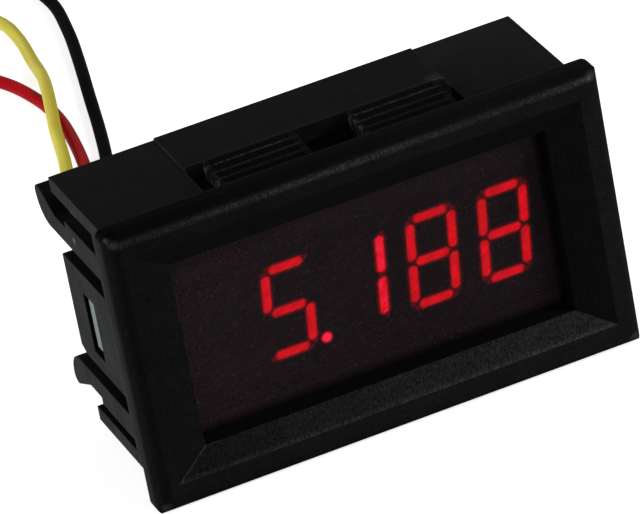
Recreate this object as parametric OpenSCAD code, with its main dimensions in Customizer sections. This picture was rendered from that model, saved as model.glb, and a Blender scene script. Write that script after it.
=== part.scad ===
// Snap-in digital panel meter: a one-piece housing with a framed window, a five-digit
// light display on a circuit board that clips in from behind, and three free wires.
// Millimetres. X runs along the bezel, Y to the rear and Z up. The origin is under the
// middle of the meter, on the surface that the bezel's lower edge stands on.

/* [Bezel] */
// Width of the bezel
bezel_w = 48; // [47:0.1:52]
// Height of the bezel
bezel_h = 28.6; // [28:0.1:32]
// Thickness of the bezel's flange
bezel_t = 2.4; // [1.8:0.1:2.8]
// Radius along the bezel's front edges
edge_r = 1.3; // [0.5:0.1:1.5]
// Radius of the bezel's four corners
corner_r = 0.9; // [0.4:0.1:2]

/* [Window] */
// Width of the window
window_w = 36.6; // [36.4:0.1:38]
// Height of the window
window_h = 18.5; // [16:0.1:19]
// Width of the sloping frame beside the window
frame_side = 3.3; // [1.5:0.1:3.6]
// Width of the sloping frame above and below the window
frame_top = 2.25; // [1:0.05:2.6]
// Depth of the sloping frame
frame_d = 1.05; // [0.5:0.05:1.5]
// Depth of the filter's face behind the bezel's face
window_d = 3.1; // [2.9:0.1:4]

/* [Body] */
// Width of the body, which passes through the panel
body_w = 45.6; // [44.6:0.1:46.4]
// Height of the body
body_h = 25.4; // [25:0.1:26.4]
// Depth from the bezel's face to the rear edge of the upper and lower walls
body_d = 17.4; // [16.5:0.1:20]
// Thickness of the side walls and of the clip arms
side_wall = 1.5; // [1:0.1:1.7]
// Thickness of the upper and lower walls
flat_wall = 1.5; // [1.2:0.1:1.7]
// Width of the raised middle of the upper and lower walls
plateau_w = 25.5; // [24:0.1:27]
// Place of the raised middle, to the right of the bezel's middle
plateau_shift = 0.25; // [-0.5:0.05:0.5]
// Height of the raised middle
plateau_h = 0.2; // [0.1:0.05:0.4]

/* [Snap tongues] */
// Depth of the opening that the tongues stand in, from the bezel's face
opening_end = 10.2; // [9.8:0.1:10.6]
// Gap between the outer tongue edges and the opening
tongue_side_gap = 1.2; // [0.6:0.1:1.6]
// Width of one tongue
tongue_w = 9; // [7:0.05:9.5]
// Depth of the tongues' free ends, from the bezel's face
tongue_end = 8.9; // [8.4:0.1:9.3]
// Height of the highest rib over the wall
tongue_rise = 1.05; // [0.6:0.05:1.3]
// Thickness of a tongue at its free end
tongue_t = 1.4; // [1:0.1:1.6]
// Number of ribs across each tongue
rib_count = 4; // [2:1:4]
// Distance from rib to rib
rib_pitch = 1.2; // [1:0.05:1.25]
// Depth of the groove behind each rib
rib_depth = 0.25; // [0.1:0.05:0.3]
// Distance from a tongue's sides to the ends of its ribs
rib_inset = 0.6; // [0.3:0.1:1]
// Fall from one rib to the next towards the bezel
rib_fall = 0.12; // [0.05:0.01:0.15]

/* [Side clips] */
// Height of the clip group's middle over the body's middle
clip_shift = -0.5; // [-0.6:0.1:0]
// Depth at which the side slots begin, from the bezel's face
slot_start = 7.4; // [6.5:0.1:8]
// Height of the middle side wall
latch_h = 10.06; // [9:0.02:11]
// Depth of the middle side wall's rear edge
latch_end = 18.1; // [16.5:0.1:19]
// Gap above and below the middle side wall
slot_h = 1.92; // [1.5:0.02:2.2]
// Height of a clip arm at its root
arm_h = 2.6; // [2.2:0.1:2.8]
// Height of a clip arm behind its step
arm_thin = 1.9; // [1.6:0.1:2.1]
// Depth of the step on the clip arms
arm_step = 15.3; // [13:0.1:16.5]
// Radius of the hooks' outer curve
hook_r = 2.65; // [2.4:0.05:3]
// Depth of the hooks' rear ends, from the bezel's face
hook_end = 22.65; // [21.5:0.05:24]

/* [Display] */
// Thickness of the tinted filter
filter_t = 1.5; // [1:0.1:2]
// Distance from digit to digit
digit_pitch = 7.1; // [6.9:0.05:7.2]
// Height of a digit between the middles of its end segments
digit_h = 8.5; // [7.5:0.1:9.5]
// Width of a digit between the middles of its side segments
digit_w = 4.06; // [3.6:0.02:4.4]
// Lean of the digits, in degrees
digit_lean = 5.5; // [0:0.5:8]
// Width of a segment
segment_w = 0.92; // [0.6:0.02:1.1]
// Height of the display's case
case_h = 14; // [13:0.1:16]
// Depth of the display's case
case_d = 7.2; // [6:0.1:8]

/* [Circuit board] */
// Thickness of the circuit board
board_t = 1.6; // [1:0.1:1.8]
// Height of the tabs that latch into the side walls
tab_h = 5.05; // [4:0.05:6.2]

/* [Wires] */
// Diameter of a wire over its insulation
wire_d = 1.3; // [1:0.1:1.5]
// Diameter of a wire's tinned end
tip_d = 0.6; // [0.4:0.05:0.9]
// Length of a wire's tinned end
tip_l = 6; // [3:0.5:8]

/* [Hidden] */
$fn = 48;

over = 1;                // how far a cutter runs past what it cuts
origin_y = 11.15;        // depth of the part's own middle behind the bezel's face
root = bezel_t / 2;      // depth at which what stands on the flange starts, inside it
fit_gap = 0.3;           // round a piece that drops into the housing
cavity_w = body_w - 2 * side_wall;
cavity_h = body_h - 2 * flat_wall;

opening_r = 0.5;
tongue_r = 1;
tongue_root_t = 1.3;     // thickness of a tongue where it leaves the flange
tongue_root_rise = 0.25; // height of its upper face there, over the wall
rib_land = 0.3;          // flat length behind the last groove
rib_top = 0.32;          // flat width of a rib
groove_slope = 0.2;      // by which each side of a groove slopes in
tongue_x = plateau_w / 2 - tongue_side_gap - tongue_w / 2;

arm_z = latch_h / 2 + slot_h;               // inner edge of a clip arm
latch_chamfer = 1.1;
hook_mid = [hook_end - hook_r, arm_z + hook_r];
nose_r = 0.8;                               // rounding of the hook's nose
nose_mid = [hook_end - nose_r, arm_z + hook_r];
nose_turn = 116;
hook_foot = 4.6;                            // from the rear end to the foot of the hook

display_shift = -1;                         // the display sits low on its board
display_y = window_d + filter_t;
digit_count = 5;
case_w = digit_count * digit_pitch + 0.6;
segment_d = 0.8;
segment_gap = 0.08;                         // from a mitre to the line it would meet on
segment_tip = 0.28;                         // height of a segment's blunt outer tip
segment_nib = 0.08;                         // half height of a blunt point
end_gap = 0.26;                             // from a middle corner to the blunt points
point_r = 0.55;
point_at = [digit_w / 2 + 0.92, 0.1 - digit_h / 2];
segment_names = "abcdefg.";
lit_segments = ["", "afgcd.", "bc", "abcdefg", "abcdefg"];

board_y = display_y + case_d;
board_back = board_y + board_t;
board_w = cavity_w - 2 * fit_gap;
board_h = cavity_h - 2 * fit_gap;
tab_recess = 0.2;                           // how far a tab stops short of the wall's face
tab_shift = clip_shift - 0.1;               // height of the tabs' middle over the body's middle
latch_room = [0.8, 0.85];                   // room behind and below a tab in its window
latch_gap = 0.25;                           // room in front of it and above it

pin_pitch = 2.54;
pin_row = 5.08;                             // from the display's middle to each row
pins_in_row = 7;
pin_r = 0.25;
pin_hole_r = 0.45;
pin_out = 0.9;                              // how far a pin stands out behind the board
pin_solder_r = 0.85;
pin_solder_h = 0.6;

chip_stand = 0.1;                           // from the board to the chips' bodies
end_cap_l = 0.3;                            // length of the metal ends of the small chips
wire_solder_r = 1.1;
wire_solder_l = 1;

// Sizes over all of what stands on the board's rear, as [x, depth, z]
microcontroller_size = [6.5, 1, 4.4];
converter_size = [4.9, 1.45, 3.9];
regulator_size = [4.5, 1.5, 2.5];
diode_size = [4.3, 2.1, 2.6];
tantalum_size = [3.5, 1.8, 2.8];
trimmer_size = [3.6, 1.4, 3.2];
ceramic_size = [2, 0.9, 1.25];
resistor_size = [1.6, 0.45, 0.8];

// Bent leads: [height, rise to the body, out to the bend, out to the tip, thickness, width]
fine_lead = [0.57, 0.45, 0.5, 1, 0.12, 0.25];
wide_lead = [0.7, 0.5, 0.5, 1.05, 0.2, 0.42];
fine_pitch = 0.65;
wide_pitch = 1.27;
regulator_lead = [0.45, 0.4, 0.9];
regulator_tab = [1.7, 0.4, 0.8];
regulator_pitch = 1.5;

// Straps: [width, height, thickness, length of the foot]
diode_strap = [1.4, 1.2, 0.2, 0.9];
tantalum_strap = [2.2, 1, 0.15, 0.8];

// Places on the board's rear, as [x, z]
row_inset = 2.3;                            // from the board's edge to a row of small chips
row_pitch = 2.9;
row_start = -6.4;
row_count = 5;
row_z = board_h / 2 - row_inset;
board_end = board_w / 2;
wire_at = [[-17, 4], [-14.5, 4], [-12, 4]];
microcontroller_at = [1, -1];
converter_at = [10.3 - board_end, -1.6];
diode_at = [4.9 - board_end, -1.6];
trimmer_at = [5.7 - board_end, 1.4 - row_z];
regulator_at = [board_end - 7.3, 3.6];
tantalum_at = [board_end - 7.3, -3.4];
resistor_at = [for (s = [-1, 1], i = [0:row_count - 1])
    [row_start + row_pitch * i, s * row_z]];
ceramic_at = [[10.2, -row_z], [9.6, row_z], [10.3 - board_end, 2.2 - row_z], [7.6, -1],
    [board_end - 2.9, -3.4]];

// Places that the wires pass through, in the part's own frame: out of the board, down
// to the surface, back along it and round to a tinned end. The heights are those of the
// wire's underside.
wire_rise = wire_d + 0.1;                   // of the yellow wire where it crosses the red
route_yellow = [
    [-17, 6, 17.65], [-17, 10, 17], [-17, 14, 14.7], [-16.8, 17.5, 10.7],
    [-16.4, 20.5, 6.3], [-15.8, 24, 2.5], [-15, 28.5, 0.4], [-14, 33, 0],
    [-12, 40, 0], [-9.8, 48, 0], [-7.3, 55.5, 0.3], [-5.8, 61.8, 1.1],
    [-4.1, 67.8, wire_rise], [-2.6, 73.8, 0.9], [-1.7, 79.6, 0.1], [-1, 85.7, 0],
    [-1.3, 90.6, 0], [-4, 95.4, 0], [-9.8, 98.2, 0], [-16.2, 98, 0],
    [-22, 95.5, 0], [-26.5, 91.5, 0], [-30, 86.5, 0]];
route_red = [
    [-14.5, 6, 17.65], [-14.5, 10, 16.9], [-14.5, 13.8, 14.5], [-14.3, 17, 10.5],
    [-13.9, 19.8, 6.1], [-13.2, 23.2, 2.3], [-12.3, 27.5, 0.3], [-11.2, 32, 0],
    [-9.3, 40, 0], [-7.2, 48, 0], [-5.5, 55.3, 0], [-4.5, 61, 0],
    [-4, 66, 0], [-4.2, 71, 0], [-5.6, 77, 0], [-8.6, 82, 0],
    [-13.3, 84.6, 0], [-18.5, 83.8, 0], [-22.7, 80.4, 0], [-25.4, 75.4, 0],
    [-27, 69.5, 0], [-28, 63.5, 0], [-28.6, 58, 0], [-28.8, 52.6, 0]];
route_black = [
    [-12, 6, 17.65], [-12, 10, 17.1], [-12, 14.2, 14.9], [-11.8, 17.8, 10.9],
    [-11.4, 21, 6.5], [-10.8, 24.6, 2.7], [-10, 29, 0.4], [-9, 34, 0],
    [-7.2, 41, 0], [-5.2, 48.5, 0], [-3, 55.8, 0], [-1.4, 61.8, 0],
    [0.1, 68, 0], [2.3, 77, 0], [3.8, 84, 0], [4.7, 91, 0],
    [3.6, 97.2, 0], [-0.8, 101.8, 0], [-6.6, 104.8, 0], [-13, 106.4, 0],
    [-19, 107, 0], [-24, 106.8, 0]];

// ---- Shared shapes ----

// Moves a piece from the meter's own axes, which start in the middle of the bezel's face
module place() {
    translate([0, -origin_y, bezel_h / 2]) children();
}

// Makes a drawing of [x, z] deep, from y to the rear
module upright(y, depth) {
    translate([0, y + depth, 0]) rotate([90, 0, 0]) linear_extrude(depth) children();
}

// Makes a drawing of [y, z] wide, from x to the right
module along(x, width) {
    translate([x, 0, 0]) rotate([90, 0, 90]) linear_extrude(width) children();
}

// A box centred on [x, z] that reaches from y to the rear
module block(at, y, size) {
    translate([at[0] - size[0] / 2, y, at[1] - size[2] / 2]) cube(size);
}

// A round bar along Y, centred on [x, z]
module bar(at, y, length, r0, r1) {
    translate([at[0], y, at[1]]) rotate([-90, 0, 0]) cylinder(h = length, r1 = r0, r2 = r1);
}

function arc(mid, r, a0, a1, steps = 12) =
    [for (i = [0:steps]) let (a = a0 + (a1 - a0) * i / steps) mid + r * [cos(a), sin(a)]];

// ---- Housing ----

module rounded(w, h, r) {
    square([w - 2 * r, h], center = true);
    square([w, h - 2 * r], center = true);
    for (x = [-1, 1], y = [-1, 1])
        translate([x * (w / 2 - r), y * (h / 2 - r)]) circle(r);
}

// Cross-section of the flange as [across, depth], rounded at its two front corners
module flange_section(w) {
    translate([-w / 2, edge_r]) square([w, bezel_t - edge_r]);
    translate([edge_r - w / 2, 0]) square([w - 2 * edge_r, edge_r]);
    for (s = [-1, 1])
        translate([s * (w / 2 - edge_r), edge_r]) circle(edge_r);
}

module flange() {
    intersection() {
        linear_extrude(2 * bezel_h, center = true) flange_section(bezel_w);
        rotate([0, -90, 0]) linear_extrude(2 * bezel_w, center = true)
            flange_section(bezel_h);
        upright(-over, bezel_t + 2 * over) rounded(bezel_w, bezel_h, corner_r);
    }
}

// The frame slopes in from all four sides, so that its corners are mitred
module window_cut() {
    reach = (frame_d + over) / frame_d;
    wide = [1 + 2 * frame_side * reach / window_w, 1 + 2 * frame_top * reach / window_h];
    translate([0, frame_d, 0]) rotate([90, 0, 0])
        linear_extrude(frame_d + over, scale = wide) square([window_w, window_h], center = true);
    block([0, 0], -over, [window_w, window_d + 2 * over, window_h]);
}

module body_shell() {
    block([0, 0], root, [body_w, window_d - root, body_h]);
    for (s = [-1, 1]) {
        block([0, s * (body_h - flat_wall) / 2], root, [body_w, body_d - root, flat_wall]);
        block([plateau_shift, s * body_h / 2], root,
            [plateau_w, body_d - root, 2 * plateau_h]);
    }
}

// Opening in the upper wall, seen from above, with rounded rear corners
module opening_cut() {
    half = plateau_w / 2 - opening_r;
    height = flat_wall + plateau_h + 2 * over;
    translate([plateau_shift, 0, cavity_h / 2 - over]) linear_extrude(height) {
        translate([-plateau_w / 2, bezel_t])
            square([plateau_w, opening_end - opening_r - bezel_t]);
        translate([-half, bezel_t]) square([2 * half, opening_end - bezel_t]);
        for (s = [-1, 1])
            translate([s * half, opening_end - opening_r]) circle(opening_r);
    }
}

// Height of a tongue's upper face over the wall's face
function crest(y) = tongue_rise - rib_fall * (tongue_end - rib_land - y) / rib_pitch;

// Side of a tongue as [depth, height over the wall's face]
function tongue_side() = let (
    last = tongue_end - rib_land,
    first = last - rib_count * rib_pitch
) [[root, tongue_root_rise - tongue_root_t], [tongue_end, tongue_rise - tongue_t],
    [tongue_end, tongue_rise], [last, tongue_rise], [first, crest(first)],
    [bezel_t, tongue_root_rise], [root, tongue_root_rise]];

// Side of the groove behind each rib
function groove_side(i) = let (
    rear = tongue_end - rib_land - i * rib_pitch,
    front = rear - rib_pitch + rib_top,
    floor_z = crest(front) - rib_depth
) [[rear, crest(rear) + over], [rear, crest(rear)], [rear - groove_slope, floor_z],
    [front + groove_slope, floor_z], [front, crest(front)], [front, crest(front) + over]];

module tongue_plan() {
    translate([-tongue_w / 2, 0]) square([tongue_w, tongue_end - tongue_r]);
    translate([tongue_r - tongue_w / 2, 0]) square([tongue_w - 2 * tongue_r, tongue_end]);
    for (s = [-1, 1])
        translate([s * (tongue_w / 2 - tongue_r), tongue_end - tongue_r]) circle(tongue_r);
}

module tongue() {
    difference() {
        intersection() {
            translate([0, 0, body_h / 2]) along(tongue_x - tongue_w / 2, tongue_w)
                polygon(tongue_side());
            translate([tongue_x, 0, 0]) linear_extrude(body_h) tongue_plan();
        }
        for (i = [0:rib_count - 1])
            translate([0, 0, body_h / 2])
                along(tongue_x - tongue_w / 2 + rib_inset, tongue_w - 2 * rib_inset)
                    polygon(groove_side(i));
    }
}

// Side of a clip arm as [depth, height over the clip group's middle]
function arm_side() = concat(
    [[slot_start - over, arm_z]],
    arc(hook_mid, hook_r, -90, 0, 10),
    arc(nose_mid, nose_r, 14, nose_turn, 6),
    [[hook_end - hook_foot, arm_z + arm_thin], [arm_step, arm_z + arm_thin],
        [arm_step, arm_z + arm_h], [slot_start - over, arm_z + arm_h]]);

// The left side wall: whole in front, and three fingers behind
module side() {
    window_z = tab_shift - tab_h / 2 - latch_room[1];
    difference() {
        along(-body_w / 2, side_wall) {
            translate([root, -body_h / 2]) square([slot_start - root, body_h]);
            translate([0, clip_shift]) {
                polygon(arm_side());
                mirror([0, 1]) polygon(arm_side());
                polygon([[slot_start - over, latch_h / 2], [latch_end, latch_h / 2],
                    [latch_end, latch_chamfer / 2 - latch_h / 2],
                    [latch_end - latch_chamfer, -latch_h / 2],
                    [slot_start - over, -latch_h / 2]]);
            }
        }
        translate([-body_w / 2 - over, board_y - latch_gap, window_z])
            cube([side_wall + 2 * over, board_t + latch_room[0] + latch_gap,
                tab_h + latch_room[1] + latch_gap]);
    }
}

module housing() {
    color("#1c1c1e") place() {
        difference() {
            union() {
                flange();
                body_shell();
            }
            window_cut();
            opening_cut();
            mirror([0, 0, 1]) opening_cut();
        }
        for (x = [0, 1], z = [0, 1])
            translate([plateau_shift, 0, 0]) mirror([x, 0, 0]) mirror([0, 0, z]) tongue();
        for (x = [0, 1])
            mirror([x, 0, 0]) side();
    }
}

module filter_window() {
    color("#3a0c12") place()
        block([0, 0], window_d, [cavity_w - 2 * fit_gap, filter_t, cavity_h - 2 * fit_gap]);
}

// ---- Display ----

function lean(p) = [p[0] + p[1] * tan(digit_lean), p[1]];

// Each segment from corner to corner, clockwise, with the forms of its two ends
function segment_run(name) = let (
    w = digit_w / 2,
    h = digit_h / 2
) [
    [[-w, h], [w, h], "corner", "corner"], [[w, h], [w, 0], "corner", "middle"],
    [[w, 0], [w, -h], "middle", "corner"], [[w, -h], [-w, -h], "corner", "corner"],
    [[-w, -h], [-w, 0], "corner", "middle"], [[-w, 0], [-w, h], "middle", "corner"],
    [[-w, 0], [w, 0], "bar", "bar"]][search(name, segment_names)[0]];

// Outline of an end as [distance from the corner, distance out from the middle line]
function segment_end(form) = let (
    s = segment_w / 2,
    inner = [s + segment_gap, -s]
) form == "corner"
    ? [inner, [segment_tip - s + segment_gap, s - segment_tip],
        [segment_tip - s + 2 * segment_gap, s]]
    : form == "middle"
    ? [inner, [end_gap, -segment_nib], [end_gap, segment_tip], [s, s]]
    : [inner, [end_gap, -segment_nib], [end_gap, segment_nib], [s + segment_gap, s]];

module segment(name) {
    if (name == ".") {
        translate(point_at) circle(point_r);
    } else {
        run = segment_run(name);
        ahead = (run[1] - run[0]) / norm(run[1] - run[0]);
        out = [-ahead[1], ahead[0]];
        near = segment_end(run[2]);
        far = segment_end(run[3]);
        last = len(far) - 1;
        polygon(concat(
            [for (p = near) lean(run[0] + p[0] * ahead + p[1] * out)],
            [for (i = [0:last]) let (p = far[last - i])
                lean(run[1] - p[0] * ahead + p[1] * out)]));
    }
}

function is_lit(digit, name) = len(search(name, lit_segments[digit])) > 0;

module segments(lit) {
    $fn = 20;
    for (i = [0:digit_count - 1], name = segment_names)
        if (is_lit(i, name) == lit)
            translate([(i - (digit_count - 1) / 2) * digit_pitch, display_shift])
                segment(name);
}

module display_case() {
    color("#e8e6e0") place() difference() {
        block([0, display_shift], display_y, [case_w, case_d, case_h]);
        upright(display_y - over, over + segment_d) {
            segments(true);
            segments(false);
        }
    }
}

module segments_lit() {
    color("#ff2236") place() upright(display_y, segment_d) segments(true);
}

module segments_unlit() {
    color("#c9b9b4") place() upright(display_y, segment_d) segments(false);
}

module at_pins() {
    for (s = [-1, 1], i = [0:pins_in_row - 1])
        translate([(i - (pins_in_row - 1) / 2) * pin_pitch, 0, display_shift + s * pin_row])
            children();
}

module display_pins() {
    $fn = 16;
    color("#c8c8c8") place() at_pins()
        bar([0, 0], board_y, board_t + pin_out, pin_r, pin_r);
}

// ---- Circuit board ----

module circuit_board() {
    $fn = 16;
    color("#245c36") place() difference() {
        union() {
            block([0, 0], board_y, [board_w, board_t, board_h]);
            block([0, tab_shift], board_y, [body_w - 2 * tab_recess, board_t, tab_h]);
        }
        at_pins() bar([0, 0], board_y - over, board_t + 2 * over, pin_hole_r, pin_hole_r);
    }
}

module pin_solder() {
    $fn = 16;
    color("#b9bcc0") place() at_pins() difference() {
        bar([0, 0], board_back, pin_solder_h, pin_solder_r, pin_r + 0.1);
        bar([0, 0], board_back - over, pin_solder_h + 2 * over, pin_r, pin_r);
    }
}

module wire_solder() {
    $fn = 24;
    color("#b9bcc0") place()
        for (at = wire_at) bar(at, board_back, wire_solder_l, wire_solder_r, wire_d / 2);
}

// A chip's body, standing just clear of the board
module chip(at, size) {
    block(at, board_back + chip_stand, size);
}

// Rows of bent leads along the upper and lower sides of a chip
module bent_leads(at, chip_size, count, pitch, lead) {
    top = lead[0];
    neck = lead[1];
    bend = lead[2];
    tip = lead[3];
    thick = lead[4];
    side = [
        [0, bend - thick], [neck, bend - thick], [neck, 0], [top, 0], [top, bend],
        [thick, bend], [thick, tip], [0, tip]];
    translate([at[0], board_back, at[1]])
        for (s = [0, 1], i = [0:count - 1])
            mirror([0, 0, s]) translate([0, 0, chip_size[2] / 2])
                along((i - (count - 1) / 2) * pitch - lead[5] / 2, lead[5]) polygon(side);
}

// Metal straps round the left and right ends of a moulded piece
module end_straps(at, size, strap) {
    wide = strap[0];
    high = strap[1];
    thick = strap[2];
    foot = strap[3];
    for (s = [0, 1])
        translate([at[0], board_back, at[1]]) mirror([s, 0, 0])
            translate([size[0] / 2, 0, -wide / 2]) linear_extrude(wide)
                polygon([[-foot, 0], [thick, 0], [thick, high], [0, high], [0, chip_stand],
                    [-foot, chip_stand]]);
}

module microcontroller() {
    color("#1b1b1b") place() chip(microcontroller_at, microcontroller_size);
}

module microcontroller_leads() {
    color("#c4c6c8") place()
        bent_leads(microcontroller_at, microcontroller_size, 10, fine_pitch, fine_lead);
}

module converter_chip() {
    color("#1b1b1b") place() chip(converter_at, converter_size);
}

module converter_leads() {
    color("#c4c6c8") place()
        bent_leads(converter_at, converter_size, 4, wide_pitch, wide_lead);
}

module regulator() {
    color("#202020") place() block(regulator_at, board_back, regulator_size);
}

module regulator_leads() {
    below = -(regulator_size[2] + regulator_lead[2]) / 2;
    above = (regulator_size[2] + regulator_tab[2]) / 2;
    color("#c4c6c8") place() {
        for (i = [-1:1])
            block(regulator_at + [i * regulator_pitch, below], board_back, regulator_lead);
        block(regulator_at + [0, above], board_back, regulator_tab);
    }
}

module input_diode() {
    color("#1b1b1b") place() chip(diode_at, diode_size);
}

module diode_leads() {
    color("#c4c6c8") place() end_straps(diode_at, diode_size, diode_strap);
}

module tantalum_capacitor() {
    color("#c79a3a") place() chip(tantalum_at, tantalum_size);
}

module tantalum_leads() {
    color("#c4c6c8") place() end_straps(tantalum_at, tantalum_size, tantalum_strap);
}

module ceramic_capacitors() {
    color("#a5835c") place() for (at = ceramic_at)
        block(at, board_back, ceramic_size - [2 * end_cap_l, 0, 0]);
}

module resistors() {
    color("#1a1a1c") place() for (at = resistor_at)
        block(at, board_back, resistor_size - [2 * end_cap_l, 0, 0]);
}

module two_caps(at, size) {
    for (s = [-1, 1])
        block(at + [s * (size[0] - end_cap_l) / 2, 0], board_back,
            [end_cap_l, size[1], size[2]]);
}

module chip_ends() {
    color("#c4c6c8") place() {
        for (at = ceramic_at) two_caps(at, ceramic_size);
        for (at = resistor_at) two_caps(at, resistor_size);
    }
}

module calibration_trimmer() {
    color("#26497d") place() block(trimmer_at, board_back, trimmer_size);
}

module trimmer_screw() {
    screw_r = 1.1;
    screw_h = 0.5;
    slot = [2 * screw_r + over, over, 0.35];
    slot_d = 0.25;
    face = board_back + trimmer_size[1];
    color("#d8d2b8") place() difference() {
        bar(trimmer_at, face, screw_h, screw_r, screw_r);
        block(trimmer_at, face + screw_h - slot_d, slot);
        block(trimmer_at, face + screw_h - slot_d, [slot[2], slot[1], slot[0]]);
    }
}

// ---- Wires ----

wire_sides = 8;

function unit(v) = v / norm(v);

// The middle line of a wire, from its joint on the board
function wire_line(i, route) = concat(
    [[wire_at[i][0], board_back + wire_solder_l - origin_y, wire_at[i][1] + bezel_h / 2]],
    [for (p = route) p + [0, 0, wire_d / 2]]);

function ring(at, toward, r) = let (
    across = unit(cross(toward, [0, 0, 1])),
    up = cross(across, toward)
) [for (k = [0:wire_sides - 1]) let (a = 360 * k / wire_sides)
    at + r * (cos(a) * across + sin(a) * up)];

module tube(line, r) {
    last = len(line) - 1;
    rings = [for (i = [0:last])
        ring(line[i], unit(line[min(i + 1, last)] - line[max(i - 1, 0)]), r)];
    walls = [for (i = [0:last - 1], k = [0:wire_sides - 1]) let (
        next = (k + 1) % wire_sides, a = i * wire_sides, b = a + wire_sides)
        each [[a + k, b + k, b + next], [a + k, b + next, a + next]]];
    start = [for (k = [0:wire_sides - 1]) k];
    end = [for (k = [wire_sides - 1:-1:0]) last * wire_sides + k];
    polyhedron(points = [for (r = rings) each r], faces = concat(walls, [start, end]));
}

module tip(line) {
    last = len(line) - 1;
    toward = unit(line[last] - line[last - 1]);
    tube([line[last], line[last] + tip_l * toward], tip_d / 2);
}

module wire_yellow() {
    color("#e8c414") tube(wire_line(0, route_yellow), wire_d / 2);
}

module wire_red() {
    color("#c81e1e") tube(wire_line(1, route_red), wire_d / 2);
}

module wire_black() {
    color("#18181a") tube(wire_line(2, route_black), wire_d / 2);
}

module tip_yellow() {
    color("#c4c6c8") tip(wire_line(0, route_yellow));
}

module tip_red() {
    color("#c4c6c8") tip(wire_line(1, route_red));
}

module tip_black() {
    color("#c4c6c8") tip(wire_line(2, route_black));
}

housing();
filter_window();
display_case();
segments_lit();
segments_unlit();
display_pins();
circuit_board();
pin_solder();
microcontroller();
microcontroller_leads();
converter_chip();
converter_leads();
regulator();
regulator_leads();
input_diode();
diode_leads();
tantalum_capacitor();
tantalum_leads();
ceramic_capacitors();
resistors();
chip_ends();
calibration_trimmer();
trimmer_screw();
wire_solder();
wire_red();
wire_yellow();
wire_black();
tip_red();
tip_yellow();
tip_black();
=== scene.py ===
"""A snap-in digital panel meter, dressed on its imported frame: moulded housing, tinted
window, lit digits, populated circuit board and three loose wires with tinned ends."""

import math

import bmesh
import bpy
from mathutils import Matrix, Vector


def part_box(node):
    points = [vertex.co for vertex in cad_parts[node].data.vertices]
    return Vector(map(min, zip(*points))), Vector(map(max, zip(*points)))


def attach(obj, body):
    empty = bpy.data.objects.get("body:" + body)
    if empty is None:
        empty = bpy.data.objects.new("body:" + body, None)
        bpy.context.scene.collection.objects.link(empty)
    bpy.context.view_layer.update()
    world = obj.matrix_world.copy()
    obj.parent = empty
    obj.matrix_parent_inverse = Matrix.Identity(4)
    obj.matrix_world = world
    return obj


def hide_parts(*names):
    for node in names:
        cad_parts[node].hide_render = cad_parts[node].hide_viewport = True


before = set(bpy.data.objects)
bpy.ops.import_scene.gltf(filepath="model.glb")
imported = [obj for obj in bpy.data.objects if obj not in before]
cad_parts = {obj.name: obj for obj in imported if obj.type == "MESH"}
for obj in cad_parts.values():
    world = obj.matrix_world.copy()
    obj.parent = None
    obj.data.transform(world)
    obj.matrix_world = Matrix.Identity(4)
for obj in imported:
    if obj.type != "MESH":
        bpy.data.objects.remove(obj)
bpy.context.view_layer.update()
scene = bpy.context.scene
MM = 0.001


# ---- Where things are on the meter ----

# Lengths are in millimetres. A depth is taken from the bezel's face and a height from its
# middle. Of the housing, X and Z in a name stand for half a width or half a height.
housing_low, housing_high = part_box("housing")
FRONT = round(housing_low.y / MM, 3)  # the bezel's face, along the frame's Y
MIDDLE = round((housing_low.z + housing_high.z) / 2 / MM, 3)  # its middle, along Z
BEZEL_X = round(housing_high.x / MM, 3)
BEZEL_Z = MIDDLE  # because the bezel stands on its lower edge
FLANGE_D = 2.4
FRAME_D = 1.05  # of the sloping frame
FRAME_SIDE = 3.3  # its width beside the window
FRAME_TOP = 2.25  # its width above and below it
WINDOW_X = 18.3
WINDOW_Z = 9.25
FILTER_D = 3.1
BODY_X = 22.8
BODY_Z = 12.7
SIDE_WALL = 1.5
RIM_HIGHLIGHT_Z = 13.2  # height of the painted highlight line along the rim's top
TONGUES_MIDDLE = 0.25
TONGUE_END = 8.9
TONGUE_X = 11.55  # from the tongues' middle to the outer edges of both
TONGUE_W = 9
RIBS = (  # a rib's depth, how far its painted highlight line is whole, where it ends, and its paleness
    (7.56, 0.05, 0.18, 11),
    (6.36, 0.08, 0.2, 6),
    (5.16, 0.08, 0.2, 3),
)
NEAR = 0.01  # how far a mask reaches past the face that ends it, or a ring stands off one

DISPLAY_Z = -1  # height of the display's middle
DISPLAY_D = 4.6
DIGIT_PITCH = 7.1
DIGIT_H = 8.5
DIGIT_W = 4.06
DIGIT_LEAN = math.radians(5.5)
BAR_HALF = 1.2  # half of a level segment's middle line
POST_HALF = 1.4  # half of an upright one's
POINT_X = -4.15  # the decimal point
POINT_Z = -5.15

BOARD_D = 11.8
BOARD_BACK = 13.4
PIN_PITCH = 2.54
PIN_ROW = 5.08  # from the display's middle to each row
PINS_IN_ROW = 7


def at(x, depth, height):
    """A point of the meter's own axes, in millimetres, in the frame of the part."""
    return Vector((x, FRONT + depth, MIDDLE + height)) * MM


# ---- Camera ----


def make_camera():
    """A long lens, from in front of the meter's left side and above it."""
    data = bpy.data.cameras.new("camera")
    data.sensor_width = 36
    data.lens = 366.3
    data.clip_start = 0.01
    data.clip_end = 20
    camera = bpy.data.objects.new("camera", data)
    camera.location = (-0.158806, -0.490655, 0.293386)
    camera.rotation_euler = (1.065315, 0.168544, -0.403278)
    scene.collection.objects.link(camera)
    scene.camera = camera


make_camera()


# ---- Materials ----


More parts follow.
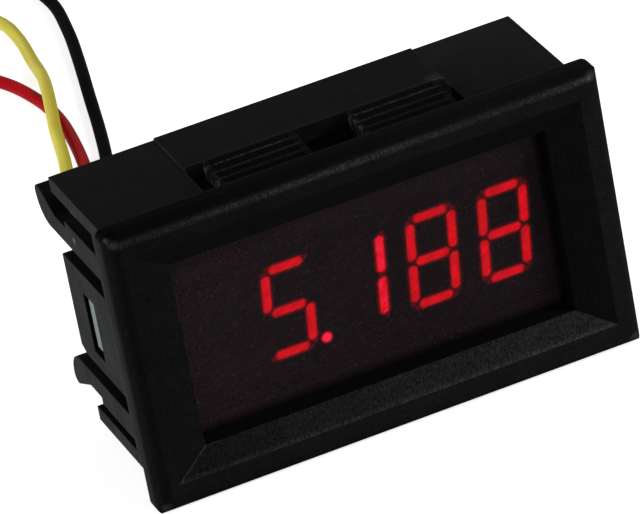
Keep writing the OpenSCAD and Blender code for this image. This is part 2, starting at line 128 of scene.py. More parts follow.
class Value:
    """One value in a tree of nodes. Sums and products of values add the nodes for them."""

    def __init__(self, tree, socket=None):
        self.tree = tree
        self.socket = socket

    def node(self, kind, settings=None, inputs=None, output=0):
        """Adds any node: first its settings, then what goes into its sockets."""
        made = self.tree.nodes.new(kind)
        for key, setting in (settings or {}).items():
            setattr(made, key, setting)
        for key, given in (inputs or {}).items():
            if isinstance(given, Value):
                self.tree.links.new(given.socket, made.inputs[key])
            else:
                made.inputs[key].default_value = given
        return Value(self.tree, made.outputs[output])

    def math(self, operation, *others):
        inputs = dict(enumerate((self, *others)))
        return self.node("ShaderNodeMath", {"operation": operation}, inputs)

    def __add__(self, other):
        return self.math("ADD", other)

    def __sub__(self, other):
        return self.math("SUBTRACT", other)

    def __mul__(self, other):
        return self.math("MULTIPLY", other)

    def __truediv__(self, other):
        return self.math("DIVIDE", other)

    def __pow__(self, other):
        return self.math("POWER", other)

    def __rsub__(self, other):
        return (self * -1).math("ADD", other)

    __radd__ = __add__
    __rmul__ = __mul__

    def above(self, edge):
        """1 where this value is over the edge, and 0 elsewhere."""
        return self.math("GREATER_THAN", edge)

    def below(self, edge):
        """1 where this value is under the edge, and 0 elsewhere."""
        return self.math("LESS_THAN", edge)

    def spread(self, low, high, to_low=0.0, to_high=1.0):
        """Runs from to_low to to_high as this value runs from low to high."""
        return self.node(
            "ShaderNodeMapRange",
            {"clamp": True},
            {0: self, 1: low, 2: high, 3: to_low, 4: to_high},
        )

    def size(self):
        """This value without its sign."""
        return self.math("ABSOLUTE")

    def band(self, low, high, soft=0.06):
        """1 between two values, fading out over soft on either side."""
        return self.spread(low - soft, low) * self.spread(high, high + soft, 1, 0)

    def least(self, other):
        return self.math("MINIMUM", other)

    def most(self, other):
        return self.math("MAXIMUM", other)

    def tint(self, low, high):
        """A colour from low, where this value is 0, to high, where it is 1."""
        inputs = {0: self, 6: low, 7: high}
        return self.node("ShaderNodeMix", {"data_type": "RGBA"}, inputs, 2)


def rgb(red, green, blue):
    return (red, green, blue, 1)


class Finish:
    """A material in the making: its object coordinates, textures and Principled shader."""

    def __init__(self, name, **sockets):
        self.material = bpy.data.materials.new(name)
        self.material.use_nodes = True
        self.tree = self.material.node_tree
        self.shader = self.tree.nodes["Principled BSDF"]
        self.value = Value(self.tree)
        self.place = self.value.node("ShaderNodeTexCoord", output=3)
        self.set(**sockets)

    def set(self, **sockets):
        for key, given in sockets.items():
            socket = self.shader.inputs[key.replace("_", " ").title().replace("Ior", "IOR")]
            if isinstance(given, Value):
                self.tree.links.new(given.socket, socket)
            else:
                socket.default_value = given

    def axes(self):
        """Across, depth behind the bezel's face and height over its middle, in millimetres."""
        moved = self.value.node("ShaderNodeVectorMath", {"operation": "SUBTRACT"},
                                {0: self.place, 1: at(0, 0, 0)})
        own = self.scaled(moved, 1 / MM)
        return [self.value.node("ShaderNodeSeparateXYZ", None, {0: own}, i) for i in range(3)]

    def noise(self, size, detail=3, roughness=0.55, over=None):
        """Cloudy noise whose features are about size metres across."""
        return self.value.node(
            "ShaderNodeTexNoise",
            None,
            {"Vector": over or self.place, "Scale": 1 / size, "Detail": detail,
             "Roughness": roughness},
        )

    def far_from(self, *middle):
        """Distance in millimetres from a point of the meter's own axes."""
        return self.value.node(
            "ShaderNodeVectorMath", {"operation": "DISTANCE"},
            {0: self.place, 1: at(*middle)}, 1) / MM

    def scaled(self, whole, factor):
        """A place or a colour times a factor."""
        return self.value.node(
            "ShaderNodeVectorMath", {"operation": "SCALE"}, {0: whole, "Scale": factor})

    def bump(self, height, depth, strength=1.0):
        """Relief whose full height is depth metres."""
        self.set(Normal=self.value.node(
            "ShaderNodeBump", None,
            {"Strength": strength, "Distance": depth, "Height": height}))


# ---- Wires ----

WIRE_D = 1.3 * MM
TIP_L = 6 * MM
TIP_HOLD = 0.4 * MM  # how far the tinned strands reach into the insulation

# Each route in millimetres of the part's own frame, with its heights from where a wire's
# middle is when it lies on the surface
WIRES = {
    "yellow": (
        (-17, 6, 17.65), (-17, 10, 17), (-17, 14, 14.7), (-16.8, 17.5, 10.7),
        (-16.4, 20.5, 6.3), (-15.8, 24, 2.5), (-15, 28.5, 0.4), (-14, 33, 0),
        (-12, 40, 0), (-9.8, 48, 0), (-7.3, 55.5, 0.3), (-5.8, 61.8, 1.1),
        (-4.1, 67.8, 1.4), (-2.6, 73.8, 0.9), (-1.7, 79.6, 0.1), (-1, 85.7, 0),
        (-1.3, 90.6, 0), (-4, 95.4, 0), (-9.8, 98.2, 0), (-16.2, 98, 0),
        (-22, 95.5, 0), (-26.5, 91.5, 0), (-30, 86.5, 0)),
    "red": (
        (-14.5, 6, 17.65), (-14.5, 10, 16.9), (-14.5, 13.8, 14.5), (-14.3, 17, 10.5),
        (-13.9, 19.8, 6.1), (-13.2, 23.2, 2.3), (-12.3, 27.5, 0.3), (-11.2, 32, 0),
        (-9.3, 40, 0), (-7.2, 48, 0), (-5.5, 55.3, 0), (-4.5, 61, 0),
        (-4, 66, 0), (-4.2, 71, 0), (-5.6, 77, 0), (-8.6, 82, 0),
        (-13.3, 84.6, 0), (-18.5, 83.8, 0), (-22.7, 80.4, 0), (-25.4, 75.4, 0),
        (-27, 69.5, 0), (-28, 63.5, 0), (-28.6, 58, 0), (-28.8, 52.6, 0)),
    "black": (
        (-12, 6, 17.65), (-12, 10, 17.1), (-12, 14.2, 14.9), (-11.8, 17.8, 10.9),
        (-11.4, 21, 6.5), (-10.8, 24.6, 2.7), (-10, 29, 0.4), (-9, 34, 0),
        (-7.2, 41, 0), (-5.2, 48.5, 0), (-3, 55.8, 0), (-1.4, 61.8, 0),
        (0.1, 68, 0), (2.3, 77, 0), (3.8, 84, 0), (4.7, 91, 0),
        (3.6, 97.2, 0), (-0.8, 101.8, 0), (-6.6, 104.8, 0), (-13, 106.4, 0),
        (-19, 107, 0), (-24, 106.8, 0)),
}
JOINTS_X = {"yellow": -17, "red": -14.5, "black": -12}
JOINTS_Z = 4  # height of the joints on the board
JOINT_L = 1  # how far a joint stands out behind the board


def middle_line(name):
    """The points that a wire's middle passes through, from its joint on the board."""
    line = [at(JOINTS_X[name], BOARD_BACK + JOINT_L, JOINTS_Z)]
    line += [Vector(point) * MM + Vector((0, 0, WIRE_D / 2)) for point in WIRES[name]]
    return line


def smooth_line(points, steps=5):
    """The same line as one smooth curve that never dips below the surface it lies on."""
    ends = [2 * points[0] - points[1], *points, 2 * points[-1] - points[-2]]
    curve = []
    for before, start, end, after in zip(ends, ends[1:], ends[2:], ends[3:]):
        for i in range(steps):
            t = i / steps
            place = 0.5 * (
                2 * start
                + (end - before) * t
                + (2 * before - 5 * start + 4 * end - after) * t**2
                + (3 * start - before - 3 * end + after) * t**3
            )
            place.z = max(place.z, WIRE_D / 2)
            curve.append(place)
    return [*curve, points[-1]]


def new_piece(name, mesh, slot, *materials, stands_for=()):
    """Makes a finished mesh a piece that rides on the body and stands for CAD nodes."""
    piece = bpy.data.objects.new(name, mesh)
    scene.collection.objects.link(piece)
    if materials:
        mesh.materials.clear()
        for material in materials:
            mesh.materials.append(material)
    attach(piece, "root")
    if stands_for:
        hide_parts(*stands_for)
    return piece


def tube(name, line, radius, sides=14):
    """A closed tube along a line, with its length and round as its UV map, in metres."""
    form = bmesh.new()
    sheet = form.loops.layers.uv.new("along")
    rounds, lengths = [], [0.0]
    for i, place in enumerate(line):
        ahead = (line[min(i + 1, len(line) - 1)] - line[max(i - 1, 0)]).normalized()
        across = ahead.cross(Vector((0, 0, 1))).normalized()
        up = across.cross(ahead)
        if i:
            lengths.append(lengths[-1] + (place - line[i - 1]).length)
        rounds.append([
            form.verts.new(place + radius * (math.cos(a) * across + math.sin(a) * up))
            for a in (math.tau * k / sides for k in range(sides))])
    for i, (near, far) in enumerate(zip(rounds, rounds[1:])):
        for k in range(sides):
            n = (k + 1) % sides
            face = form.faces.new((near[k], far[k], far[n], near[n]))
            face.smooth = True
            turns = (k, k, k + 1, k + 1)
            for loop, run, turn in zip(face.loops, (0, 1, 1, 0), turns):
                loop[sheet].uv = (lengths[i + run], turn / sides * math.tau * radius)
    form.faces.new(rounds[0])
    form.faces.new(rounds[-1][::-1])
    bmesh.ops.recalc_face_normals(form, faces=form.faces)
    mesh = bpy.data.meshes.new(name)
    form.to_mesh(mesh)
    form.free()
    return mesh


# ---- Trees that repeat a shape ----


class Tree:
    """A geometry tree in the making, with its sizes as named inputs."""

    def __init__(self, name, sizes):
        self.group = bpy.data.node_groups.new(name, "GeometryNodeTree")
        add = self.group.interface.new_socket
        add("Geometry", in_out="INPUT", socket_type="NodeSocketGeometry")
        add("Geometry", in_out="OUTPUT", socket_type="NodeSocketGeometry")
        self.sizes = {}
        for label, size in sizes.items():
            kind = "NodeSocketInt" if isinstance(size, int) else "NodeSocketFloat"
            self.sizes[add(label, in_out="INPUT", socket_type=kind).identifier] = size
        self.inlet = self.group.nodes.new("NodeGroupInput")
        self.value = Value(self.group)

    def given(self, name):
        return Value(self.group, self.inlet.outputs[name])

    def grow(self, shape, start, material, name):
        """Ends the tree with a shape, runs it on an object and gives the result as a mesh."""
        real = self.value.node("GeometryNodeRealizeInstances", None, {0: shape})
        dressed = self.value.node("GeometryNodeSetMaterial", None, {0: real, 2: material})
        outlet = self.group.nodes.new("NodeGroupOutput")
        self.group.links.new(dressed.socket, outlet.inputs[0])
        modifier = start.modifiers.new(name, "NODES")
        modifier.node_group = self.group
        for identifier, size in self.sizes.items():
            modifier[identifier] = size
        scene.collection.objects.link(start)
        state = bpy.context.evaluated_depsgraph_get()
        mesh = bpy.data.meshes.new_from_object(start.evaluated_get(state))
        bpy.data.objects.remove(start)
        mesh.name = name
        return mesh


def points_object(name, places):
    """Loose points for a tree to put something on."""
    mesh = bpy.data.meshes.new(name)
    mesh.from_pydata([tuple(place) for place in places], [], [])
    return bpy.data.objects.new(name, mesh)


def line_object(name, places):
    """A plain line for a tree to follow."""
    data = bpy.data.curves.new(name, "CURVE")
    data.dimensions = "3D"
    spline = data.splines.new("POLY")
    spline.points.add(len(places) - 1)
    for point, place in zip(spline.points, places):
        point.co = (*place, 1)
    return bpy.data.objects.new(name, data)


def twisted_strands(name, start, end, material):
    """Tinned strands from start to end: one in the middle and the others laid round it."""
    laid_round = 6
    tree = Tree("strands", {
        "Strands": laid_round + 1,
        "Lay Radius": 0.2 * MM,
        "Strand Radius": 0.1 * MM,
        "Turn": math.tau * 1.3,
    })
    v = tree.value
    fine = v.node("GeometryNodeResampleCurve", None, {0: tree.given("Geometry"), "Count": 28})
    many = v.node("GeometryNodeDuplicateElements", {"domain": "SPLINE"},
                  {0: fine, "Amount": tree.given("Strands")})
    number = Value(v.tree, many.socket.node.outputs["Duplicate Index"])
    along = v.node("GeometryNodeSplineParameter")
    angle = number * (math.tau / laid_round) + along * tree.given("Turn")
    reach = number.below(laid_round - 0.5) * tree.given("Lay Radius")
    normal = v.node("GeometryNodeInputNormal")
    ahead = v.node("GeometryNodeInputTangent")
    side = v.node("ShaderNodeVectorMath", {"operation": "CROSS_PRODUCT"}, {0: ahead, 1: normal})
    across = v.node("ShaderNodeVectorMath", {"operation": "SCALE"},
                    {0: normal, "Scale": angle.math("COSINE") * reach})
    up = v.node("ShaderNodeVectorMath", {"operation": "SCALE"},
                {0: side, "Scale": angle.math("SINE") * reach})
    away = v.node("ShaderNodeVectorMath", {"operation": "ADD"}, {0: across, 1: up})
    laid = v.node("GeometryNodeSetPosition", None, {0: many, "Offset": away})
    profile = v.node("GeometryNodeCurvePrimitiveCircle", None,
                     {"Resolution": 8, "Radius": tree.given("Strand Radius")})
    strands = v.node("GeometryNodeCurveToMesh", None,
                     {"Curve": laid, "Profile Curve": profile, "Fill Caps": True})
    return tree.grow(strands, line_object(name, [start, end]), material, name)


def rings(name, places, ring_r, wire_r, material):
    """A metal ring round each place on the board's rear face."""
    tree = Tree("rings", {"Ring Radius": ring_r, "Rim": wire_r})
    v = tree.value
    path = v.node("GeometryNodeCurvePrimitiveCircle", None,
                  {"Resolution": 18, "Radius": tree.given("Ring Radius")})
    profile = v.node("GeometryNodeCurvePrimitiveCircle", None,
                     {"Resolution": 8, "Radius": tree.given("Rim")})
    ring = v.node("GeometryNodeCurveToMesh", None, {"Curve": path, "Profile Curve": profile})
    many = v.node("GeometryNodeInstanceOnPoints", None,
                  {"Points": tree.given("Geometry"), "Instance": ring,
                   "Rotation": (math.pi / 2, 0, 0)})
    return tree.grow(many, points_object(name, places), material, name)


# ---- Finishes ----


class Skin:
    """Masks over the housing's skin: each is 1 in its own place and 0 elsewhere."""

    def __init__(self, finish):
        x, depth, high = finish.axes()
        wide, tall = x.size(), high.size()
        self.x, self.depth, self.high = x, depth, high
        self.wide, self.tall = wide, tall
        self.left = x * -1
        self.rightward = x.spread(-20, 20)
        self.lower_half = high.below(0)
        self.flange = depth.below(FLANGE_D + NEAR)
        self.body = 1 - self.flange

        # The sloping frame, its level stretches over and under the window, and the
        # window's own low walls between the frame and the filter
        self.frame = (depth.below(FRAME_D + NEAR) * wide.below(WINDOW_X + FRAME_SIDE + 0.1)
                      * tall.below(WINDOW_Z + FRAME_TOP + 0.1))
        from_mitre = (tall - WINDOW_Z) / FRAME_TOP - (wide - WINDOW_X) / FRAME_SIDE
        self.level = from_mitre.above(0) * self.frame
        self.in_window = (depth.above(FRAME_D + NEAR) * depth.below(FILTER_D + 0.1)
                          * wide.below(WINDOW_X + 0.05) * tall.below(WINDOW_Z + 0.05))

        # The body's side faces, the cut faces of their slots, and its top and underside
        self.side = self.body * wide.above(BODY_X - 0.06)
        self.slots = (self.body * wide.band(BODY_X - SIDE_WALL + 0.2, BODY_X - 0.2, 0.1)
                      * tall.below(BODY_Z - 0.3))
        self.top = self.body * tall.above(BODY_Z - 0.3) * (1 - self.side)

        self.from_tongues = x - TONGUES_MIDDLE
        self.tongue = (depth.band(FLANGE_D + 0.2, TONGUE_END, 0.02)
                       * self.from_tongues.size().below(TONGUE_X + 0.35) * tall.above(11))


def painted_rim_highlights(finish, skin):
    """Painted highlights: paleness of a grainy line along the rim's top, of its corners and its
    rear edge.
    """
    specks = finish.noise(0.17 * MM, 3, 0.65)
    climb = skin.x.spread(14, 23, 0, 0.12)
    line = (skin.high - RIM_HIGHLIGHT_Z - climb).size().spread(0.02, 0.42, 1, 0)
    line = line * specks.spread(0.36, 0.66, 0.1, 5.2)
    line = line * skin.flange * skin.wide.below(BEZEL_X - 0.9)

    # Fainter at its left and again right of the middle, and bright at its right end
    line = line * skin.x.spread(-18, -5, 0.48, 1) * skin.x.spread(3, 11, 1, 0.52)
    line = line * skin.x.spread(17, 23, 1, 2.8)
    across, up = skin.wide - (BEZEL_X - 0.8), skin.tall - (BEZEL_Z - 0.7)
    corner = (across ** 2 + up ** 2 + skin.depth ** 2).spread(0.02, 0.45, 3.5, 0)
    rear_edge = skin.depth.band(FLANGE_D - 0.2, FLANGE_D - 0.05) * skin.tall.above(BEZEL_Z - 0.1)
    return line + skin.flange * corner + rear_edge * 1.5


def left_rounding(skin):
    """Painted shade on the bezel's left front rounding: how much darker it is, or below 0 how
    much paler, on its way from the side into the face."""
    band = skin.left.band(BEZEL_X - 1.25, BEZEL_X - 0.5, 0.35) * 0.3
    turn_in = skin.depth.spread(0.9, 1.5, 0.4, 0) - skin.depth.spread(0.3, 0.9, 0.7, 0)
    return skin.flange * (band + skin.left.spread(BEZEL_X - 0.8, BEZEL_X - 0.4) * turn_in)


def tongue_highlights(finish, skin):
    """Painted highlights on the tongues: dashes along the ribs, their free ends and left edges.
    """
    dashes = finish.noise(0.24 * MM, 3, 0.7).spread(0.42, 0.6)
    ribs = sum((skin.depth - place).size().spread(whole, faded, pale, 0)
               for place, whole, faded, pale in RIBS)
    free_end = skin.depth.spread(TONGUE_END - 0.4, TONGUE_END - 0.15, 0, 4)
    left_edges = [skin.from_tongues + TONGUE_X, skin.from_tongues - (TONGUE_X - TONGUE_W)]
    from_edge = left_edges[0].size().least(left_edges[1].size())
    # Painted highlights: pale dots along each tongue's left edge
    edge_glints = from_edge.spread(0.1, 0.45, 9, 0) * finish.noise(0.7 * MM, 1).spread(0.5, 0.62)
    return ribs * dashes + free_end + edge_glints


def moulded_plastic(name, shade, rough, shine, edges=0.0):
    """Black moulding with a spark-eroded grain, streaked on the sloping frame, with painted
    highlights on the rim's upper front edge and on the tongues' ribs, painted light on its
    sides and painted shade in its recesses."""
    finish = Finish(name, specular_ior_level=shine)
    skin = Skin(finish)
    rightward, lower_half = skin.rightward, skin.lower_half
    grain = finish.noise(0.22 * MM, 4, 0.6)
    cloud = finish.noise(3 * MM, 4, 0.6)
    drawn = finish.value.node(
        "ShaderNodeMapping", None,
        {"Vector": finish.place, "Rotation": (0, math.radians(38), 0), "Scale": (1, 1, 0.25)})
    streaks = finish.noise(0.16 * MM, 4, 0.65, drawn)

    # Painted light and shade: how much paler each place is than the plain skin, or below 0 how
    # much darker, across the bezel's face, the frame's stretches, the bezel's left end and the
    # body's sides. The sill is a painted highlight along the outer edge of the frame's lower
    # stretch, and last comes a painted highlight at a corner of the right tongue's opening.
    face = (skin.flange - skin.frame) * (rightward * 0.3 - 0.2 + lower_half * 0.1)
    sill = skin.high.spread(-11.5, -11.1, 1, 0) * (1 + rightward)
    level = skin.level * (lower_half * (0.3 + rightward * 1.25 + sill) - 0.35)
    uprights = (skin.frame - skin.level) * (skin.x.above(0) * -0.2 - 0.2)
    left_end = skin.flange * skin.left.spread(BEZEL_X - 0.18, BEZEL_X - 0.02) * 1.2
    sides = skin.side * cloud.spread(0.3, 0.7, 1.7, 2.6)
    opening_highlight = finish.far_from(12.3, 10.55, 12.9).spread(0.25, 1.2, 1.6, 0)
    shades = 1 + painted_rim_highlights(finish, skin) + face + level + uprights + left_end + sides + opening_highlight

    # Painted shade: the share by which each place is darkened, or below 0 made paler, on the
    # rim's top, the bezel's left rounding, the window's low walls, the slots and the body's
    # top, which is darker towards the bezel
    rim = skin.flange * skin.tall.spread(BEZEL_Z - 0.8, BEZEL_Z - 0.5)
    shades = shades * (1 - rim * (0.62 - rightward * 0.15)) * (1 - left_rounding(skin))
    shades = shades * (1 - skin.in_window * 0.6) * (1 - skin.slots * 0.42)
    shades = shades * (1 - skin.top * skin.depth.spread(3, 21, 0.2, -0.15))

    # A painted highlight on the bezel's top left corner and a scratched spot on an arm, then
    # painted shade darkening the tongues and painted highlights on them
    corner_glint = finish.far_from(-23.7, 0.35, 14.05).spread(0.1, 0.55, 1, 0) ** 2 * 7
    scratch = finish.far_from(-22.8, 13.25, 7.95).spread(0.1, 0.55, 1, 0) ** 2 * 16
    shades = shades + skin.flange * corner_glint + skin.side * scratch
    shades = shades * (1 - skin.tongue * (0.58 - rightward * 0.2))
    shades = shades + skin.tongue * tongue_highlights(finish, skin) * 0.3

    # Painted highlights on the bevels between faces, most of all at the lower left mitre
    if edges:
        plain = skin.body * (1 - skin.tongue) * (1 - skin.side)
        mitre = skin.frame * skin.x.below(-17) * skin.high.below(-8.5) * 2
        shades = shades * (1 + plain * edges) + mitre

    relief = grain + skin.frame * (streaks - grain) * 1.2
    light = relief.spread(0.3, 0.8, 0.7, 1.5) * cloud.spread(0.3, 0.7, 0.88, 1.12)
    coarse = lower_half * skin.level
    light = light * (1 + coarse * streaks.spread(0.36, 0.66, -0.32, 0.32))
    finish.set(
        base_color=(light * shades * shade).tint(rgb(0, 0, 0), rgb(0.97, 1, 1)),
        roughness=grain * 0.12 + (rough - 0.06),
    )
    finish.bump(relief, 0.03 * MM, 0.5)
    return finish.material


def tinted_window():
    """Dark red filter sheet with a fine frosted grain, clearer over the display's face."""
    finish = Finish("tinted_window", specular_ior_level=0.03, roughness=0.55)
    x, _, high = finish.axes()
    flecks = finish.noise(0.2 * MM, 3, 0.75)
    dust = finish.noise(0.26 * MM, 1).spread(0.64, 0.72, 0, 2.2)
    blots = finish.noise(1.3 * MM, 4, 0.65)
    clear = x.size().spread(17.2, 18.2, 1, 0)
    clear = clear * (high - DISPLAY_Z).size().spread(6.3, 7.5, 1, 0)
    haze = (high - 7.6).size().spread(0.1, 1.1, 0.4, 0) * x.band(-4, 12, 5)
    shadow = high.spread(-WINDOW_Z, -8.2, 0.2, 1) * x.spread(17.7, WINDOW_X, 1, 0.3)
    shadow = shadow * high.spread(8.3, 9.1, 1, 0.35)
    light = (flecks.spread(0.36, 0.68, 0.55, 1.5) + haze + dust) * shadow
    light = light * (1 + clear * 0.1) * x.spread(-16, 2, 1.25, 1)
    hue = blots.spread(0.4, 0.6).tint(rgb(0.0118, 0.0088, 0.0102), rgb(0.0158, 0.0083, 0.0110))
    finish.set(
        base_color=finish.scaled(hue, light),
        alpha=1 - clear * flecks.spread(0.3, 0.7, 0.2, 0.15),
    )
    finish.bump(flecks, 0.01 * MM, 0.4)
    return finish.material


def lit_core(finish):
    """Distance in millimetres from the middle line of the nearest lit segment and from the
    decimal point, and a mask of the digit that is a one."""
    x, _, high = finish.axes()
    up = high - DISPLAY_Z
    upright = x - up * math.tan(DIGIT_LEAN) + 2.5 * DIGIT_PITCH
    digit = (upright / DIGIT_PITCH).math("FLOOR")  # 0 for the leftmost, which isn't lit, to 4
    across = upright - digit * DIGIT_PITCH - DIGIT_PITCH / 2
    wide, tall = across.size(), up.size()
    full = digit.above(2.5)
    five = digit.above(0.5) * digit.below(1.5)
    one = digit.above(1.5) * digit.below(2.5)
    unlit = 9  # added to the distance of what isn't lit
    bar = (
        (wide - BAR_HALF).most(0) ** 2
        + tall.least((tall - DIGIT_H / 2).size()) ** 2
    ).math("SQRT") + (1 - full - five) * unlit
    post_lit = full + five * (across * up).below(0) + one * across.above(0)
    post = (
        (wide - DIGIT_W / 2).size() ** 2
        + ((tall - DIGIT_H / 4 + 0.1).size() - POST_HALF).most(0) ** 2
    ).math("SQRT") + (1 - post_lit) * unlit
    point = ((x - POINT_X) ** 2 + (high - POINT_Z) ** 2).math("SQRT")
    return bar.least(post), point, one


def display_plastic():
    """White case with a dark printed face and a painted red glow around the lit segments."""
    finish = Finish("display_plastic", specular_ior_level=0.2, roughness=0.55)
    flecks = finish.noise(0.4 * MM)
    _, depth, _ = finish.axes()
    face = depth.below(DISPLAY_D + 0.15)
    core, point, one = lit_core(finish)
    glow = core.least(point).spread(0.4, 0.8, 1, 0) ** 2 * (1 + one * 0.8)
    finish.set(
        base_color=(face * 0.94).tint(rgb(0.62, 0.6, 0.56), rgb(0.02, 0.02, 0.02)),
        emission_color=(glow * face).tint(rgb(0, 0, 0), rgb(0.7, 0.001, 0.003)),
        emission_strength=1,
    )
    finish.bump(flecks, 0.02 * MM, 0.3)
    return finish.material


def glowing_segments():
    """Lit segments: brightest along their middle, fading to deep red at their edges."""
    finish = Finish("glowing_segments", base_color=rgb(0.05, 0.002, 0.002), roughness=0.6,
                    specular_ior_level=0.05)
    core, point, one = lit_core(finish)
    uneven = finish.noise(1.3 * MM, 2).spread(0.3, 0.7, 0.7, 1.1)
    bright = core.spread(0.28, 0.56, 1, 0.004) * uneven * (1 + one * 0.35)
    spot = point.spread(0.3, 0.65, 1.6, 0.1)
    strength = bright.most(spot)
    pale = (strength - 1).most(0) * 0.1
    finish.set(
        emission_color=finish.value.node(
            "ShaderNodeCombineColor", None,
            {0: strength * 0.55, 1: strength * 0.001 + pale * 0.2, 2: strength * 0.005 + pale}),
        emission_strength=8,
    )
    return finish.material


def unlit_segments():
    """Milky segments, faintly pink and cloudy."""
    finish = Finish("unlit_segments", roughness=0.6, specular_ior_level=0.1)
    cloud = finish.noise(0.8 * MM).spread(0.3, 0.7)
    finish.set(base_color=cloud.tint(rgb(0.10, 0.07, 0.07), rgb(0.16, 0.12, 0.12)))
    return finish.material


def bright_metal(name, colour, rough, grain=0.12):
    """Tinned or soldered metal with a faintly uneven skin."""
    finish = Finish(name, metallic=0.9)
    skin = finish.noise(grain * MM, 3)
    dull = finish.noise(1.2 * MM, 2)
    dark = rgb(*(part * 0.72 for part in colour[:3]))
    finish.set(
        base_color=dull.spread(0.35, 0.7).tint(dark, colour),
        roughness=skin * 0.16 + (rough - 0.08),
    )
    finish.bump(skin, 0.01 * MM, 0.4)
    return finish.material


def board_laminate():
    """Green masked board with tracks under the mask and pale, sawn edges; its front face is
    painted near black as shade.
    """
    finish = Finish("board_laminate", specular_ior_level=0.4)
    _, depth, high = finish.axes()
    sawn = depth.above(BOARD_D + 0.1) * depth.below(BOARD_BACK - 0.1)
    behind = depth.above(BOARD_BACK - 0.1)
    wander = finish.noise(3.846 * MM, 0).spread(0, 1, -1, 1)
    rows = ((high + wander) / (PIN_PITCH / 2)).math("FRACT")
    tracks = rows.above(0.36) * rows.below(0.62)
    weave = finish.noise(0.18 * MM, 2)
    # Painted shade: the front face, inside the housing, gets the near-black end
    mask = (behind * (0.15 + tracks * 0.85)).tint(rgb(0.001, 0.003, 0.002), rgb(0.02, 0.1, 0.04))
    fibres = weave.spread(0.35, 0.7).tint(rgb(0.11, 0.14, 0.136), rgb(0.19, 0.22, 0.216))
    finish.set(
        base_color=sawn.tint(mask, fibres),
        roughness=sawn * 0.4 + 0.35,
    )
    finish.bump(tracks * (1 - sawn) + weave * sawn, 0.03 * MM, 0.5)
    return finish.material


def speckled(name, low, high, rough, size=0.15):
    """A moulded, fired or painted body with fine specks."""
    finish = Finish(name, specular_ior_level=0.3)
    specks = finish.noise(size * MM, 4, 0.6)
    finish.set(
        base_color=specks.spread(0.3, 0.7).tint(low, high),
        roughness=specks * 0.15 + (rough - 0.07),
    )
    finish.bump(specks, 0.01 * MM, 0.5)
    return finish.material


def wire_skin(name, low, high, shine=0.03):
    """Smooth vinyl insulation, faintly streaked along the wire, with painted shade along one
    side.
    """
    finish = Finish(name, specular_ior_level=shine, roughness=0.45)
    along = finish.value.node("ShaderNodeTexCoord", output=2)
    drawn = finish.value.node("ShaderNodeMapping", None, {"Vector": along, "Scale": (0.08, 1, 1)})
    streaks = finish.noise(0.5 * MM, 3, 0.5, drawn)
    wave = finish.noise(6 * MM, 2)
    turn = finish.value.node("ShaderNodeSeparateXYZ", None, {0: along}, 1) / (math.pi * WIRE_D)
    # Painted shade: darker along one side of the wire
    shaded_side = (turn - 0.1).size().spread(0.06, 0.22, 0.15, 1)
    paleness = (streaks * 0.6 + wave * 0.4).spread(0.3, 0.7, 0.3) * shaded_side
    finish.set(base_color=paleness.tint(low, high))
    finish.bump(streaks, 0.01 * MM, 0.35)
    return finish.material


HOUSING = moulded_plastic("moulded_housing", 0.0075, 0.6, 0.004)
EDGES = moulded_plastic("housing_edges", 0.0075, 0.5, 0.006, edges=1.0)
SOLDER = bright_metal("solder", rgb(0.62, 0.63, 0.64), 0.3, 0.3)
TINNED = bright_metal("tinned_metal", rgb(0.68, 0.68, 0.67), 0.32)
STRANDS = bright_metal("tinned_copper", rgb(0.72, 0.69, 0.64), 0.3)
RESIN = speckled("chip_resin", rgb(0.010, 0.010, 0.011), rgb(0.028, 0.028, 0.03), 0.62, 0.1)
FINISHES = {
    tinted_window(): ["filter_window"],
    display_plastic(): ["display_case"],
    glowing_segments(): ["segments_lit"],
    unlit_segments(): ["segments_unlit"],
    board_laminate(): ["circuit_board"],
    TINNED: ["display_pins", "microcontroller_leads", "converter_leads", "regulator_leads",
             "diode_leads", "tantalum_leads", "chip_ends"],
    SOLDER: ["pin_solder", "wire_solder"],
    RESIN: ["microcontroller", "converter_chip", "regulator", "input_diode"],
    speckled("tantalum_resin", rgb(0.50, 0.27, 0.06), rgb(0.62, 0.36, 0.09), 0.5): [
        "tantalum_capacitor"],
    speckled("ceramic_body", rgb(0.33, 0.22, 0.13), rgb(0.42, 0.29, 0.18), 0.55): [
        "ceramic_capacitors"],
    speckled("resistor_body", rgb(0.012, 0.012, 0.013), rgb(0.03, 0.03, 0.032), 0.4): [
        "resistors"],
    speckled("trimmer_plastic", rgb(0.015, 0.06, 0.2), rgb(0.025, 0.085, 0.26), 0.45): [
        "calibration_trimmer"],
    speckled("trimmer_rotor", rgb(0.60, 0.54, 0.38), rgb(0.70, 0.64, 0.47), 0.45): [
        "trimmer_screw"],
}
INSULATION = {
    "yellow": wire_skin("yellow_insulation", rgb(0.44, 0.36, 0.02), rgb(0.80, 0.72, 0.13)),
    "red": wire_skin("red_insulation", rgb(0.22, 0.001, 0.002), rgb(0.50, 0.005, 0.010)),
    "black": wire_skin("black_insulation", rgb(0.002, 0.002, 0.002), rgb(0.006, 0.006, 0.006),
                       0.002),
}

for material, nodes in FINISHES.items():
    for name in nodes:
        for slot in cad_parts[name].material_slots:
            slot.material = material


# ---- The wires and their tinned ends ----

for name in WIRES:
    route = middle_line(name)
    line = smooth_line(route)
    wire = new_piece(f"{name}_wire", tube(f"{name}_wire", line, WIRE_D / 2),
                     f"insulation_{name}", INSULATION[name], stands_for=[f"wire_{name}"])
    end, ahead = line[-1], (route[-1] - route[-2]).normalized()
    strands = twisted_strands(f"{name}_tip", end - ahead * TIP_HOLD, end + ahead * TIP_L, STRANDS)
    tip = new_piece(f"{name}_tip", strands, "tinned_copper", stands_for=[f"tip_{name}"])
    length = sum((b - a).length for a, b in zip(line, line[1:]))


# ---- Housing ----


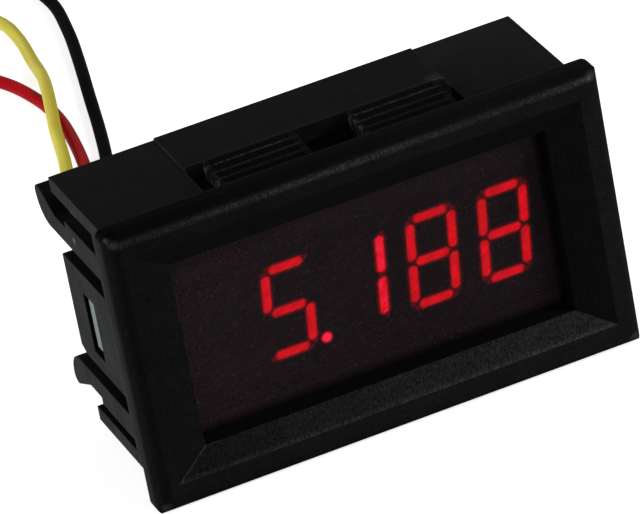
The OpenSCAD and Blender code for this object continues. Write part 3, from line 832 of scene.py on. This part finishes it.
def merged_copy(node, name):
    """A copy of a node's shape with its triangles joined into whole faces."""
    form = bmesh.new()
    form.from_mesh(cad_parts[node].data)
    bmesh.ops.remove_doubles(form, verts=form.verts, dist=2e-6)
    bmesh.ops.dissolve_limit(
        form, angle_limit=math.radians(0.6), verts=form.verts, edges=form.edges)
    mesh = bpy.data.meshes.new(name)
    form.to_mesh(mesh)
    form.free()
    return mesh


def softened(piece, width, edge_slot):
    """Rounds a piece's sharp edges by a real bevel and shades the rest by angle."""
    sharp = math.radians(28)
    mesh = piece.data
    for face in mesh.polygons:
        face.use_smooth = True
    mesh.set_sharp_from_angle(angle=sharp)
    bevel = piece.modifiers.new("rounded_edges", "BEVEL")
    bevel.width = width
    bevel.segments = 2
    bevel.limit_method = "ANGLE"
    bevel.angle_limit = sharp
    bevel.use_clamp_overlap = False
    bevel.harden_normals = True
    bevel.material = edge_slot


housing = new_piece("housing_moulding", merged_copy("housing", "housing_moulding"),
                    "housing_plastic", HOUSING, EDGES, stands_for=["housing"])
softened(housing, 0.07 * MM, edge_slot=1)


# ---- Solder lands on the board's rear ----

pins = [
    at(PIN_PITCH * (i - (PINS_IN_ROW - 1) / 2), BOARD_BACK + NEAR, DISPLAY_Z + row)
    for row in (-PIN_ROW, PIN_ROW) for i in range(PINS_IN_ROW)]
new_piece("pin_lands", rings("pin_lands", pins, 0.9 * MM, 0.1 * MM, SOLDER), "solder")
joints = [at(x, BOARD_BACK + NEAR, JOINTS_Z) for x in JOINTS_X.values()]
new_piece("wire_lands", rings("wire_lands", joints, 1.14 * MM, 0.1 * MM, SOLDER), "solder")


# ---- Floor and light ----


def seen_or_mirrored(tree):
    """1 for rays from the camera and for rays through or off something shiny."""
    path = tree.nodes.new("ShaderNodeLightPath").outputs
    seen, mirrored, through = (
        Value(tree, path[f"Is {kind} Ray"]) for kind in ("Camera", "Glossy", "Transmission"))
    return seen.most(mirrored).most(through)


def pale_floor():
    """White where it is seen or mirrored, with the shadow of the meter kept faint."""
    material = bpy.data.materials.new("pale_floor")
    material.use_nodes = True
    tree = material.node_tree
    tree.nodes.clear()
    v = Value(tree)
    plain = v.node("ShaderNodeBsdfDiffuse", None, {"Color": rgb(0.6, 0.6, 0.6)})
    white = v.node("ShaderNodeEmission", None, {"Strength": 0.8})
    bright = v.node("ShaderNodeAddShader", None, {0: plain, 1: white})
    mixed = v.node("ShaderNodeMixShader", None, {0: seen_or_mirrored(tree), 1: plain, 2: bright})
    outlet = tree.nodes.new("ShaderNodeOutputMaterial")
    tree.links.new(mixed.socket, outlet.inputs[0])
    return material


def make_floor():
    mesh = bpy.data.meshes.new("floor")
    reach = 8
    mesh.from_pydata(
        [(-reach, -reach, 0), (reach, -reach, 0), (reach, reach, 0), (-reach, reach, 0)],
        [], [(0, 1, 2, 3)])
    mesh.materials.append(pale_floor())
    floor = bpy.data.objects.new("floor", mesh)
    scene.collection.objects.link(floor)


def make_world():
    """White where it is seen or mirrored; a soft grey light from all round otherwise."""
    world = bpy.data.worlds.new("studio")
    world.use_nodes = True
    scene.world = world
    tree = world.node_tree
    background = tree.nodes["Background"]
    background.inputs["Color"].default_value = rgb(1, 1, 1)
    strength = seen_or_mirrored(tree) * 0.75 + 0.25
    tree.links.new(strength.socket, background.inputs["Strength"])


def make_lamp(name, place, target, size, power):
    data = bpy.data.lights.new(name, "AREA")
    data.shape = "DISK"
    data.size = size
    data.energy = power
    lamp = bpy.data.objects.new(name, data)
    lamp.location = place
    lamp.rotation_euler = (Vector(target) - Vector(place)).to_track_quat("-Z", "Y").to_euler()
    scene.collection.objects.link(lamp)


make_floor()
make_world()
centre = (0, 0, 0.012)
make_lamp("key", (0.55, -0.45, 0.62), centre, 0.4, 5)
make_lamp("fill", (-0.9, 0.06, 0.2), centre, 0.4, 6)
make_lamp("glint", (0.2, -0.7, 0.16), centre, 0.12, 0.6)

scene.view_settings.view_transform = "Standard"
